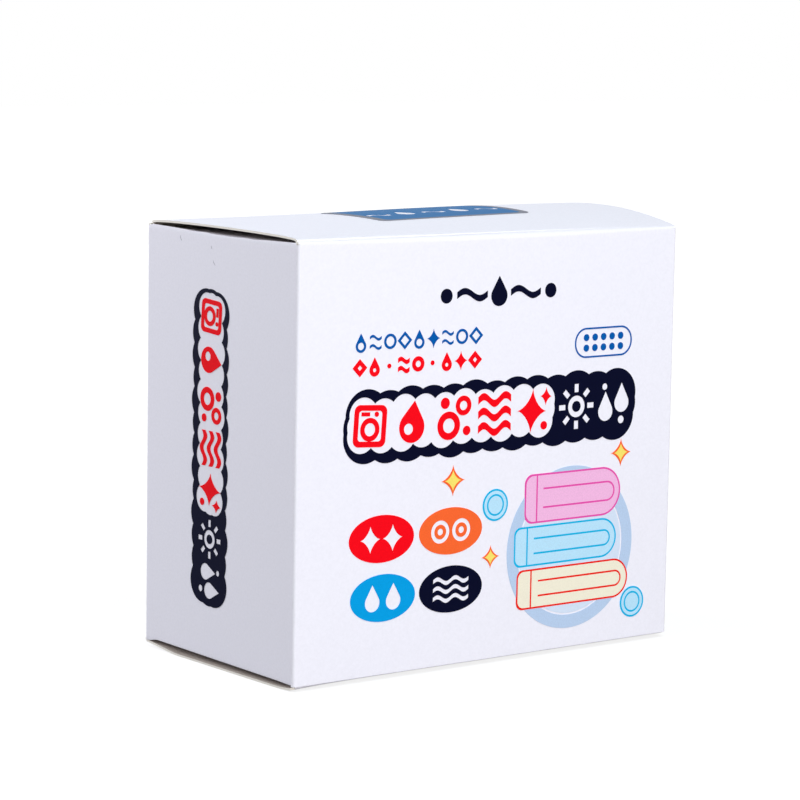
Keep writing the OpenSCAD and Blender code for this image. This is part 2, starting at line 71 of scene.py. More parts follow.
# Sizes of the carton, in metres
WALL_LOW, WALL_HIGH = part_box("carton")
CENTRE_X = (WALL_LOW.x + WALL_HIGH.x) / 2
CENTRE_Y = (WALL_LOW.y + WALL_HIGH.y) / 2
CARTON_W = WALL_HIGH.x - WALL_LOW.x
CARTON_D = WALL_HIGH.y - WALL_LOW.y
WALL_Z0 = WALL_LOW.z
WALL_Z1 = WALL_HIGH.z
BOARD = 0.5 * MM
CREASE_R = 0.8 * MM
FLAP_FOLD_R = 0.06 * MM
SIDE_DROP = 0.8 * MM
SIDE_RISE = 0.9 * MM

# How far a side panel's top crease drops below the wall's top: at its front and back ends, at the sag
# between them, and in small wavers whose turns are counted in radians along the panel
TOP_DROP_FRONT = 0.36 * MM
TOP_DROP_BACK = 0.02 * MM
TOP_SAG = 0.56 * MM
SAG_SKEW = 0.85
SAG_POWER = 1.5
TOP_WAVER = 0.04 * MM
WAVER_LONG = 29
WAVER_SHORT = 47

# How far its bottom crease rises above the wall's bottom: near its front and back ends, and at the
# corners themselves, with the stretch in between. Last, how far the wander goes into the dust flaps
LOW_RISE_FRONT = 0.42 * MM
LOW_RISE_BACK = 1.15 * MM
LOW_RISE_CORNER = 0.34 * MM
LOW_CORNER_REACH = 5 * MM
WANDER_REACH = 5 * MM

# The glued seam, the slip between a lid and its walls, and the height of a printed field
SEAM_W = 12 * MM
SEAM_SLANT = 3 * MM
SLIP = 0.15 * MM
INK = 0.1 * MM

# Sizes of the lids: their tuck flaps and front folds
TUCK_LEN = 15 * MM
TUCK_ROUND = 7 * MM
TUCK_INSET = 1 * MM
TUCK_FOLD_R = 0.9 * MM
SWING_GAP = 0.1 * MM
FOLD_R_END = 0.7 * MM
FOLD_R_MID = 1.5 * MM

# The top lid's arch: its step at the left end, its rise at the right end and at the back, and powers
LID_STEP = 1.2 * MM
LID_ARCH = 3.45 * MM
BACK_RISE = 0.25 * MM
ARCH_POWER = 1.7
BOW_POWER = 0.95
STEP_POWER = 0.25

# The bottom lid's sag, how it begins at the back, and how it ends at the front fold
FLOOR_DROP = 1.3 * MM
FLOOR_STEP = 0.12 * MM
FLOOR_SLOPE = 12 * MM
FLOOR_FRONT = 0.5 * MM
FLOOR_CORNER = 0.45 * MM
CORNER_POWER = 6
FLOOR_FRONT_SLOPE = 7 * MM
BELLY_POWER = 2.2
INSET_FROM = 50

# Where the lids turn, and what follows from the sizes above
HINGE_DROP = FOLD_R_MID + 0.1 * MM
FLOOR_FOLD_R = SIDE_RISE - 0.1 * MM
LID_HINGE_Z = WALL_Z1 - HINGE_DROP
FLOOR_HINGE_Z = WALL_Z0 + FLOOR_FOLD_R
CLOSURE_W = CARTON_W - 2 * SLIP
CLOSURE_D = CARTON_D - BOARD - SLIP
SIDE_Z0 = WALL_Z0 + SIDE_RISE
SIDE_Z1 = WALL_Z1 - SIDE_DROP

# Sizes of the dust flaps
FLAP_LEN = 29 * MM
FLAP_TAPER = 5 * MM
FLAP_SHOULDER = 3 * MM
FLAP_GAP = 0.6 * MM
TUCK_ROOM = 0.8 * MM
FLAP_DROOP = 1.2 * MM


def lean(hinge_rise):
    """How far a tuck flap leans in, to swing past the opposite wall."""
    reach = (CARTON_D - BOARD - SWING_GAP) ** 2 - (TUCK_LEN - hinge_rise) ** 2
    return CLOSURE_D - math.sqrt(reach)


LID_LEAN = lean(HINGE_DROP)
FLOOR_LEAN = lean(FLOOR_FOLD_R)


def tuck_tip():
    """Points of a tuck flap's rounded end: distance from the fold, and how far its corner is cut."""
    turns = arc(0, 90, 12)
    return [(TUCK_LEN - TUCK_ROUND * (1 - math.sin(a)), TUCK_ROUND * (1 - math.cos(a))) for a in turns]


# Materials


def material(name, roughness, specular=0.5):
    """A new material and its shader."""
    made = bpy.data.materials.new(name)
    made.use_nodes = True
    shader = made.node_tree.nodes["Principled BSDF"]
    shader.inputs["Roughness"].default_value = roughness
    shader.inputs["Specular IOR Level"].default_value = specular
    return made, shader


def linear(rgb):
    """Linear values of a colour that is written as it looks, from 0 to 255."""
    shares = [c / 255 for c in rgb]
    return [c / 12.92 if c <= 0.04045 else ((c + 0.055) / 1.055) ** 2.4 for c in shares]


def noise(tree, size, detail=3, stretch=(1, 1, 1)):
    """Noise whose features are about that size, in metres, fixed to the object."""
    place = tree.nodes.new("ShaderNodeTexCoord")
    mapping = tree.nodes.new("ShaderNodeMapping")
    mapping.inputs["Scale"].default_value = stretch
    texture = tree.nodes.new("ShaderNodeTexNoise")
    texture.inputs["Scale"].default_value = 1 / size
    texture.inputs["Detail"].default_value = detail
    tree.links.new(place.outputs["Object"], mapping.inputs["Vector"])
    tree.links.new(mapping.outputs["Vector"], texture.inputs["Vector"])
    return texture.outputs["Fac"]


def ramp(tree, source, low, high, at=(0.3, 0.7)):
    """A colour that goes from low to high as source goes between the two places."""
    made = tree.nodes.new("ShaderNodeValToRGB")
    for stop, place, rgb in zip(made.color_ramp.elements, at, (low, high)):
        stop.position = place
        stop.color = (*rgb, 1)
    tree.links.new(source, made.inputs["Fac"])
    return made.outputs["Color"]


def bump(tree, shader, source, height):
    """Bump of that height in metres."""
    made = tree.nodes.new("ShaderNodeBump")
    made.inputs["Strength"].default_value = 1
    made.inputs["Distance"].default_value = height
    tree.links.new(source, made.inputs["Height"])
    tree.links.new(made.outputs["Normal"], shader.inputs["Normal"])


def mottled(name, rgb, spread, size, roughness, specular=0.5, height=0.0):
    """A surface whose colour varies by a small share about rgb, with a fine bump."""
    made, shader = material(name, roughness, specular)
    tree = made.node_tree
    base = np.array(linear(rgb))
    grain = noise(tree, size)
    low, high = np.clip(base * (1 - spread), 0, 1), np.clip(base * (1 + spread), 0, 1)
    tree.links.new(ramp(tree, grain, low, high), shader.inputs["Base Color"])
    if height:
        bump(tree, shader, grain, height)
    return made


COATED = mottled("coated_board", (243, 242, 251), 0.02, 0.6 * MM, 0.55, 0.25, 0.005 * MM)
GREYBACK = mottled("board_inside", (196, 186, 176), 0.06, 0.5 * MM, 0.85, 0.2, 0.01 * MM)
RAW_EDGE = mottled("board_edge", (250, 246, 236), 0.05, 0.25 * MM, 0.9, 0.15, 0.02 * MM)
BOARD_LAYERS = [COATED, GREYBACK, RAW_EDGE]


# Meshes


def new_object(name, mesh):
    """A new object in the scene."""
    made = bpy.data.objects.new(name, mesh)
    bpy.context.scene.collection.objects.link(made)
    return made


def apply_modifiers(piece):
    """The piece's mesh as its modifiers leave it."""
    graph = bpy.context.evaluated_depsgraph_get()
    mesh = bpy.data.meshes.new_from_object(piece.evaluated_get(graph))
    piece.modifiers.clear()
    piece.data = mesh


class Skin:
    """The outer faces of a folded board, laid in patches of quads whose edges meet."""

    def __init__(self):
        self.mesh = bmesh.new()

    def patch(self, rows, flip=False):
        """rows[i][j] are points, and the outer side is where i's direction crosses j's."""
        made = [[self.mesh.verts.new(p) for p in row] for row in rows]
        for one, two in zip(made, made[1:]):
            for j in range(len(one) - 1):
                ring = [one[j], two[j], two[j + 1], one[j + 1]]
                self.mesh.faces.new(reversed(ring) if flip else ring)

    def board(self, name):
        """The skin as an object of the board's thickness, with coated, inner and cut faces."""
        bmesh.ops.remove_doubles(self.mesh, verts=self.mesh.verts, dist=1e-6)
        bmesh.ops.dissolve_degenerate(self.mesh, edges=self.mesh.edges, dist=1e-7)
        mesh = bpy.data.meshes.new(name)
        self.mesh.to_mesh(mesh)
        self.mesh.free()
        for layer in BOARD_LAYERS:
            mesh.materials.append(layer)
        piece = new_object(name, mesh)
        solid = piece.modifiers.new("thickness", "SOLIDIFY")
        solid.thickness = BOARD
        solid.offset = -1
        solid.use_even_offset = True
        solid.material_offset = 1
        solid.material_offset_rim = 2
        apply_modifiers(piece)
        piece.data.shade_smooth()
        piece.data.set_sharp_from_angle(angle=math.radians(40))
        return piece


def steps(start, end, count):
    """Evenly spaced values from start to end, both included."""
    return [start + (end - start) * k / count for k in range(count + 1)]


def arc(start, end, count):
    """Angles in radians, from two angles in degrees."""
    return [math.radians(a) for a in steps(start, end, count)]


# Front panel, soft crease and arched lid, one sheet. u runs from -1 at the left end to 1 at the right


def fold_r(u):
    """Radius of the lid's front fold."""
    return FOLD_R_END + (FOLD_R_MID - FOLD_R_END) * math.cos(math.pi / 2 * u)


def back_lift(u):
    """Height of the lid's back fold above the walls."""
    return BACK_RISE * (1 - u) / 2


def lid_lift(u, s):
    """Height of the lid above the walls, at share s of the way from its front fold to its back one."""
    bow = max(0.0, 4 * s * (1 - s))
    rise = LID_ARCH * (1 - ((1 - u) / 2) ** ARCH_POWER)
    step = LID_STEP * (1 - u) / 2 * bow**STEP_POWER
    return step + back_lift(u) * s * s * (3 - 2 * s) + rise * bow**BOW_POWER


def lid_z(x, y):
    """Height of the lid's outer face over a point."""
    u = max(-1.0, min(1.0, (x - CENTRE_X) / (CLOSURE_W / 2)))
    r = fold_r(u)
    s = (y - WALL_LOW.y - r) / (CLOSURE_D - TUCK_FOLD_R - r)
    return WALL_Z1 + lid_lift(u, max(0.0, min(1.0, s)))


def front_line(u):
    """Points of the sheet at u, from the front panel's bottom: distance back, height, half width."""
    r = fold_r(u)
    upright = CARTON_W / 2 - CREASE_R
    full = CLOSURE_W / 2
    lid_back_z = WALL_Z1 + back_lift(u)
    line = [(0, z, upright) for z in steps(WALL_Z0, LID_HINGE_Z, 24)]
    line.append((0, WALL_Z1 - r, upright))
    line += [(r - r * math.cos(a), WALL_Z1 - r + r * math.sin(a), full) for a in arc(0, 90, 10)[1:]]
    for k in range(1, 60):
        s = (1 - math.cos(math.pi * k / 60)) / 2
        line.append((r + s * (CLOSURE_D - TUCK_FOLD_R - r), WALL_Z1 + lid_lift(u, s), full))
    for a in arc(90, 0, 8):
        back = CLOSURE_D - TUCK_FOLD_R * (1 - math.cos(a))
        inset = TUCK_INSET if a < math.radians(89) else 0
        line.append((back, lid_back_z + TUCK_FOLD_R * (math.sin(a) - 1), full - inset))
    drops = steps(TUCK_FOLD_R, TUCK_LEN - TUCK_ROUND, 4)[1:-1]
    for drop, cut in [(d, 0) for d in drops] + tuck_tip():
        back = CLOSURE_D - LID_LEAN * (drop - TUCK_FOLD_R) / (TUCK_LEN - TUCK_FOLD_R)
        line.append((back, lid_back_z - drop, full - TUCK_INSET - cut))
    return line


def front_sheet():
    """The front panel with the top lid."""
    skin = Skin()
    skin.patch([
        [(CENTRE_X + u * half, WALL_LOW.y + back, z) for back, z, half in front_line(u)]
        for u in steps(-1, 1, 72)
    ])
    return skin.board("front_panel_and_lid")


# Back panel, crease and bottom lid, one sheet


def back_line(u):
    """Points from the back panel's top at u: distance forward from the back face, height, half width."""
    r, fold = FLOOR_FOLD_R, TUCK_FOLD_R
    upright = CARTON_W / 2 - CREASE_R
    full = CLOSURE_W / 2
    line = [(0, z, upright) for z in steps(WALL_Z1, FLOOR_HINGE_Z, 24)]
    for a in arc(0, 90, 8)[1:]:
        line.append((r - r * math.cos(a), WALL_Z0 + r - (r + FLOOR_STEP) * math.sin(a), full))
    for k in range(1, 13):
        sag = FLOOR_STEP + (FLOOR_DROP - FLOOR_STEP) * k / 12
        line.append((r + FLOOR_SLOPE * k / 12, WALL_Z0 - sag, full))
    front_sag = FLOOR_FRONT + FLOOR_CORNER * max(0, -u) ** CORNER_POWER
    slope_v = CLOSURE_D - fold - FLOOR_FRONT_SLOPE
    line += [(v, 0, full) for v in steps(r + FLOOR_SLOPE, slope_v, 12)[1:]]
    for k in range(1, 11):
        lift = (FLOOR_DROP - front_sag) * (k / 10) ** BELLY_POWER
        line.append((slope_v + FLOOR_FRONT_SLOPE * k / 10, lift, full))
    fold_z = WALL_Z0 - front_sag + fold
    for a in arc(90, 0, 8)[1:]:
        inset = TUCK_INSET if a < math.radians(INSET_FROM) else 0
        line.append((CLOSURE_D - fold + fold * math.cos(a), fold_z - fold * math.sin(a), full - inset))
    rises = steps(fold, TUCK_LEN - TUCK_ROUND, 5)[1:-1]
    whole = TUCK_LEN + FLOOR_FRONT - fold
    for rise, cut in [(d, 0) for d in rises] + tuck_tip():
        forward = CLOSURE_D - FLOOR_LEAN * (rise + FLOOR_FRONT - fold) / whole
        line.append((forward, WALL_Z0 + rise, full - TUCK_INSET - cut))
    return line


def back_sheet():
    """The back panel with the bottom lid."""
    skin = Skin()
    skin.patch([
        [(CENTRE_X + u * half, WALL_HIGH.y - forward, z) for forward, z, half in back_line(u)]
        for u in steps(-1, 1, 48)
    ])
    return skin.board("back_panel_and_bottom_lid")


# Side panels with their upright creases and dust flaps, and the glued seam


def between(x, table):
    """A value from a table of places and values, straight between two places."""
    return float(np.interp(x, [t[0] for t in table], [t[1] for t in table]))


def flap_edges(out):
    """Where a dust flap's edges lie at that distance from its crease, the tuck towards +Y."""
    free = CARTON_D / 2 - BOARD - FLAP_GAP
    near = between(out, [(0, -free), (0.3 * FLAP_LEN, -free), (FLAP_LEN, FLAP_TAPER - free)])
    far = between(out, [
        (0, free - TUCK_ROOM),
        (CREASE_R, free - TUCK_ROOM),
        (FLAP_SHOULDER, free - FLAP_SHOULDER),
        (0.5 * FLAP_LEN, free - FLAP_SHOULDER),
        (FLAP_LEN, free - 2 * FLAP_SHOULDER),
    ])
    return near, far


def smooth(share):
    """A soft step from 0 to 1."""
    share = min(1.0, max(0.0, share))
    return share * share * (3 - 2 * share)


def top_crease(side, y):
    """Height of a side panel's top crease at y from the middle: it sags, and stays under the lid."""
    s = min(1.0, max(0.0, y / CARTON_D + 0.5))
    drop = TOP_DROP_FRONT + (TOP_DROP_BACK - TOP_DROP_FRONT) * s
    drop += TOP_SAG * math.sin(math.pi * s**SAG_SKEW) ** SAG_POWER
    wave = math.sin(WAVER_LONG * s) + math.sin(WAVER_SHORT * s + 1)
    drop += TOP_WAVER * wave * math.sin(math.pi * s)
    under_lid = lid_z(CENTRE_X + side * CLOSURE_W / 2, CENTRE_Y + y) - WALL_Z1 - BOARD - SLIP
    return WALL_Z1 + min(-drop, under_lid)


def low_crease(side, y):
    """Height of a side panel's bottom crease."""
    s = min(1.0, max(0.0, y / CARTON_D + 0.5))
    rise = LOW_RISE_FRONT + (LOW_RISE_BACK - LOW_RISE_FRONT) * s
    inward = max(0.0, CARTON_D / 2 - CREASE_R - abs(y))
    share = smooth(inward / LOW_CORNER_REACH)
    return WALL_Z0 + LOW_RISE_CORNER + (rise - LOW_RISE_CORNER) * share


def back_foot(y):
    """Where a back corner ends below: low beside the side panel, at the hinge beside the back panel."""
    round_the_corner = (y - CARTON_D / 2 + CREASE_R) / CREASE_R
    share = smooth((round_the_corner - 0.5) / 0.25)
    return WALL_Z0 + LOW_RISE_CORNER + (FLOOR_FOLD_R - LOW_RISE_CORNER) * share


def flap_rows(side, crease, up, turn):
    """Rows of a dust flap over its crease. up is 1 at the top, and turn is 1 where the tuck is at +Y."""
    ys = steps(-1, 1, 40)
    edge = CARTON_D / 2 - CREASE_R
    level = SIDE_Z1 if up > 0 else SIDE_Z0
    rows = []
    for a in arc(0, 90, 4):
        x = CENTRE_X + side * (CARTON_W / 2 - FLAP_FOLD_R * (1 - math.cos(a)))
        fall = up * FLAP_FOLD_R * (1 - math.sin(a))
        rows.append([(x, CENTRE_Y + y * edge, crease(side, y * edge) - fall) for y in ys])
    outs = [0.5 * CREASE_R, CREASE_R, 2 * CREASE_R, FLAP_SHOULDER] + steps(WANDER_REACH, FLAP_LEN, 16)
    for out in outs:
        near, far = flap_edges(out)
        droop = FLAP_DROOP * (out / FLAP_LEN) ** 2 if up > 0 else 0
        share = smooth(out / WANDER_REACH)
        x = CENTRE_X + side * (CARTON_W / 2 - FLAP_FOLD_R - out)
        across = [turn * (near + far) / 2 + y * (far - near) / 2 for y in ys]
        rows.append([
            (x, CENTRE_Y + y, level * share + crease(side, y) * (1 - share) - droop) for y in across
        ])
    return rows


def side_sheet():
    """Both side panels with their corners, their dust flaps and the seam."""
    skin = Skin()
    corner_x, corner_y = CARTON_W / 2 - CREASE_R, CARTON_D / 2 - CREASE_R
    low, high = SIDE_Z0 + 2 * CREASE_R, SIDE_Z1 - 2 * CREASE_R
    for side in (-1, 1):
        front, back = [
            [(corner_x + CREASE_R * math.cos(a), end + CREASE_R * math.sin(a)) for a in turns]
            for end, turns in ((-corner_y, arc(-90, 0, 10)), (corner_y, arc(0, 90, 10)))
        ]
        flat = [(CARTON_W / 2, y) for y in steps(-corner_y, corner_y, 40)]
        stretches = [
            (front, lambda y: WALL_Z0, lambda y: low, 2),
            (flat, lambda y: low_crease(side, y) + FLAP_FOLD_R, lambda y: low, 2),
            (back, back_foot, lambda y: low, 2),
            (front + flat[1:] + back[1:], lambda y: low, lambda y: high, 24),
            (front, lambda y: high, lambda y: WALL_Z1 - FOLD_R_END, 2),
            (flat, lambda y: high, lambda y: top_crease(side, y) - FLAP_FOLD_R, 2),
            (back, lambda y: high, lambda y: WALL_Z1, 2),
        ]
        for plan, z0, z1, count in stretches:
            rows = [
                [(CENTRE_X + side * x, CENTRE_Y + y, z) for z in steps(z0(y), z1(y), count)]
                for x, y in plan
            ]
            skin.patch(rows, flip=side < 0)
        skin.patch(flap_rows(side, top_crease, 1, 1), flip=side > 0)
        skin.patch(flap_rows(side, low_crease, -1, -1), flip=side < 0)
    inner = CARTON_W / 2 - BOARD - 0.02 * MM
    back_y = CARTON_D / 2 - BOARD
    rows = []
    for share in steps(0, 1, 6):
        y = CENTRE_Y + back_y - SEAM_W * share
        z0 = SIDE_Z0 + CREASE_R + MM + SEAM_SLANT * share
        z1 = SIDE_Z1 - CREASE_R - MM - SEAM_SLANT * share
        rows.append([(CENTRE_X + inner, y, z) for z in steps(z0, z1, 8)])
    skin.patch(rows, flip=True)
    return skin.board("side_panels_and_dust_flaps")


front = front_sheet()
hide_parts("top_lid")
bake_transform(front)

back = back_sheet()
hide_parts("bottom_lid")
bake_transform(back)

sides = side_sheet()
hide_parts("carton")
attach(sides, "carton")


# Printed fields

INKS = {
    "print_navy": ((1, 4, 34), 0.12),
    "print_red": ((250, 4, 24), 0.05),
    "print_blue": ((0, 88, 168), 0.08),
    "print_sky": ((0, 158, 226), 0.05),
    "print_orange": ((251, 104, 48), 0.05),
    "print_yellow": ((250, 228, 110), 0.05),
    "print_pink": ((244, 186, 226), 0.06),
    "print_rose": ((232, 84, 172), 0.06),
    "print_aqua": ((186, 228, 250), 0.05),
    "print_cyan": ((0, 180, 230), 0.06),
    "print_cream": ((244, 238, 216), 0.03),
    "print_coral": ((240, 36, 22), 0.06),
    "print_porthole": ((186, 208, 236), 0.05),
    "print_mist": ((214, 228, 246), 0.03),
}


def ink(name, rgb, spread):
    """A printed colour."""
    return mottled(name, rgb, spread, 0.35 * MM, 0.55, 0.06, 0.002 * MM)


for node, (rgb, spread) in INKS.items():
    for place in frame["nodes"][node].material_slots:
        place.material = ink(node.replace("print", "ink"), rgb, spread)


# Short grey fibres caught in the left panel's coating: y, z, lean from upright in degrees, length
FIBRES = (
    (16.1 * MM, 98.8 * MM, -30, 1.5 * MM),
    (2.4 * MM, 94.1 * MM, -34, 1.4 * MM),
    (3.5 * MM, 97.6 * MM, -26, 0.9 * MM),
)
FIBRE_HALF = 0.06 * MM
FIBRE_END = 0.01 * MM
FIBRE_RISE = 0.03 * MM
FIBRE_BEND = 0.1


def fibres():
    """The fibres as thin raised strips with a slight bend."""
    skin = Skin()
    for y, z, turn, length in FIBRES:
        rows = []
        c, s = math.cos(math.radians(turn)), math.sin(math.radians(turn))
        for t in steps(-0.5, 0.5, 8):
            bend = FIBRE_BEND * length * (1 - 4 * t * t)
            half = FIBRE_HALF * (1 - (2 * t) ** 4) + FIBRE_END
            line = []
            for across, rise in ((-half, 0), (0, FIBRE_RISE), (half, 0)):
                a, b = across + bend, -t * length
                line.append((WALL_LOW.x - rise, y + a * c - b * s, z + a * s + b * c))
            rows.append(line)
        skin.patch(rows)
    bmesh.ops.recalc_face_normals(skin.mesh, faces=skin.mesh.faces)
    mesh = bpy.data.meshes.new("panel_fibres")
    skin.mesh.to_mesh(mesh)
    skin.mesh.free()
    mesh.materials.append(mottled("fibre", (150, 148, 158), 0.1, 0.3 * MM, 0.8, 0.2))
    piece = new_object("panel_fibres", mesh)
    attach(piece, "carton")


fibres()


# Label on the arched lid


def curved_label(node, name, rgb):
    """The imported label's outline, laid on the smooth lid."""
    made = bmesh.new()
    made.from_mesh(frame["nodes"][node].data)
    made.normal_update()
    under = [f for f in made.faces if f.normal.z < 0.5]
    bmesh.ops.delete(made, geom=under, context="FACES")
    low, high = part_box(node)
    for axis, pitch in ((0, 2 * MM), (1, 0.8 * MM)):
        for place in steps(low[axis], high[axis], round((high[axis] - low[axis]) / pitch))[1:-1]:
            point, normal = Vector((0, 0, 0)), Vector((0, 0, 0))
            point[axis], normal[axis] = place, 1
            parts = made.verts[:] + made.edges[:] + made.faces[:]
            bmesh.ops.bisect_plane(made, geom=parts, dist=1e-7, plane_co=point, plane_no=normal)
    for v in made.verts:
        v.co.z = lid_z(v.co.x, v.co.y) + INK
    mesh = bpy.data.meshes.new(name)
    made.to_mesh(mesh)
    made.free()
    piece = new_object(name, mesh)
    solid = piece.modifiers.new("thickness", "SOLIDIFY")
    solid.thickness = INK
    solid.offset = -1
    apply_modifiers(piece)
    piece.data.shade_smooth()
    piece.data.set_sharp_from_angle(angle=math.radians(40))
    piece.data.materials.clear()
    piece.data.materials.append(ink(name, rgb, 0.06))
    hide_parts(node)
    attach(piece, "top_lid")
    return piece


curved_label("lid_label_blue", "label_field", (46, 110, 164))
curved_label("lid_label_silver", "label_border", (128, 130, 140))


# Sachets: sealed film wrappers with a tablet inside, crimped at both ends, with a seam down one face.
# SLACK is the loose film's share of the swell, and the seam runs between two places across the sachet

CRIMP_H = 8 * MM
TABLET_R = 20 * MM
TABLET_GAP = 4 * MM
FILM_HALF = 0.12 * MM
SEAM_ROOM = 0.25 * MM
SEAM_AT = (-1 * MM, 7 * MM)
RIB_PITCH = 1.1 * MM
RIB_HALF = 0.13 * MM
TOOTH = 0.8 * MM
SLACK = 0.22
COLUMNS = 48


def film_material():
    """Pearly white film, with a faint cloudiness, fine crinkles and a soft gloss that varies."""
    made, shader = material("sachet_film", 0.3, 0.5)
    tree = made.node_tree
    clouds = noise(tree, 9 * MM, 2)
    low, high = linear((222, 228, 236)), linear((240, 243, 247))
    tree.links.new(ramp(tree, clouds, low, high), shader.inputs["Base Color"])
    rough = ramp(tree, clouds, (0.24,) * 3, (0.38,) * 3)
    tree.links.new(rough, shader.inputs["Roughness"])
    bump(tree, shader, noise(tree, 2.2 * MM, 4), 0.12 * MM)
    shader.inputs["Coat Weight"].default_value = 0.2
    return made


def ridge(ys, zs, at, turn, height, width):
    """A straight soft crease through a point, at that turn from upright."""
    off = (ys - at[0]) * math.cos(turn) + (zs - at[1]) * math.sin(turn)
    return height * np.exp(-((off / width) ** 2))


def wrinkles(rng, ys, zs, tablet_z, h):
    """Puckers around the tablet and loose creases above it, on one face."""
    reach = np.hypot(ys, zs - tablet_z)
    angle = np.arctan2(zs - tablet_z, ys)
    rim = np.exp(-(((reach - 1.14 * TABLET_R) / (0.17 * TABLET_R)) ** 2))
    puckers = sum(
        share * np.sin(rng.randint(*turns) * angle + rng.uniform(0, 6.28))
        for share, turns in ((0.3 * MM, (15, 21)), (0.22 * MM, (8, 12)))
    )
    field = rim * puckers
    for _ in range(9):
        at = (rng.uniform(-22, 22) * MM, rng.uniform(tablet_z + 0.7 * TABLET_R, h - CRIMP_H))
        turn = rng.uniform(-1.1, 1.1)
        height, width = rng.uniform(-0.5, 0.5) * MM, rng.uniform(0.8, 2.4) * MM
        along = -(ys - at[0]) * math.sin(turn) + (zs - at[1]) * math.cos(turn)
        fade = np.exp(-((along / (rng.uniform(6, 16) * MM)) ** 2))
        field = field + ridge(ys, zs, at, turn, height, width) * fade
    return field


def sachet(node, name, seed, film):
    """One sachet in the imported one's space: a grid of columns and levels on each face."""
    low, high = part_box(node)
    w, h, t = high.y - low.y, high.z - low.z, high.x - low.x
    rng = random.Random(seed)
    body_levels = steps(CRIMP_H, h - CRIMP_H, 64)
    crimp_levels = steps(TOOTH, CRIMP_H, 26)
    levels = [0] + crimp_levels + body_levels[1:-1] + [h - z for z in reversed(crimp_levels)] + [h]
    edges = [(side + step) for side in SEAM_AT for step in (-0.15 * MM, 0.15 * MM)]
    columns = sorted(steps(-w / 2, w / 2, COLUMNS) + edges)
    ys, zs = np.meshgrid(columns, levels, indexing="ij")
    tablet_z = CRIMP_H + TABLET_R + TABLET_GAP
    across = 2 * np.abs(ys) / w
    seam = np.clip(np.minimum(zs - CRIMP_H, h - CRIMP_H - zs) / (4 * MM), 0, 1)
    disc = 1 / (1 + (np.hypot(ys, zs - tablet_z) / TABLET_R) ** 8)
    swell = np.maximum(SLACK * (1 - across**4) * np.sqrt(seam), disc) * (1 - across**6) * seam
    room = t / 2 - SEAM_ROOM
    edge_fade = (1 - across**8) * seam
    crimped = 1 - np.clip(np.minimum(zs - CRIMP_H, h - CRIMP_H - zs) / MM + 1, 0, 1)
    ribs = RIB_HALF * crimped * np.sin(2 * np.pi * zs / RIB_PITCH)
    tip = np.clip((zs - h + 2 * CRIMP_H) / (2 * CRIMP_H), 0, 1)
    bend = rng.uniform(-1.6, 1.6) * MM * tip**2 + rng.uniform(-0.5, 0.5) * MM * tip * ys / w
    teeth = np.zeros_like(zs)
    teeth[1::2, 0] = TOOTH * 0.8
    teeth[1::2, -1] = -TOOTH * 0.8
    over_seam = (ys > SEAM_AT[0]) & (ys < SEAM_AT[1])
    points = []
    for face in (-1, 1):
        half = FILM_HALF + (room - FILM_HALF) * swell
        half = half + edge_fade * wrinkles(rng, ys, zs, tablet_z, h)
        half = np.clip(half, FILM_HALF, room)
        if face > 0:
            half = half + np.where(over_seam, 0.8 * SEAM_ROOM, 0)
        x = (low.x + high.x) / 2 + face * half + (ribs + bend) * (1 - swell)
        x = np.clip(x, low.x, high.x)
        points.append(np.stack([x, (low.y + high.y) / 2 + ys, low.z + zs + teeth], -1))
    skin = Skin()
    skin.patch(points[0], flip=True)
    skin.patch(points[1])
    for line in (0, -1):
        skin.patch(np.stack([points[0][line], points[1][line]]), flip=line == 0)
        skin.patch(np.stack([points[0][:, line], points[1][:, line]]), flip=line == -1)
    bmesh.ops.remove_doubles(skin.mesh, verts=skin.mesh.verts, dist=1e-6)
    bmesh.ops.recalc_face_normals(skin.mesh, faces=skin.mesh.faces)
    mesh = bpy.data.meshes.new(name)
    skin.mesh.to_mesh(mesh)
    skin.mesh.free()
    mesh.materials.append(film)
    piece = new_object(name, mesh)
    mesh.shade_smooth()
    mesh.set_sharp_from_angle(angle=math.radians(50))
    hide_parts(node)
    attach(piece, "carton")
    return piece


film = film_material()
sachets = sorted(n for n in frame["nodes"] if n.startswith("sachet_"))
for number, node in enumerate(sachets, 1):
    sachet(node, "film_" + node, number, film)


# Floor, camera and light


# How bright the floor's own white is near the pack, and the distances between which it grows to 1
FLOOR_GLOW = 0.8
FLOOR_NEAR = 0.3
FLOOR_FAR = 0.7


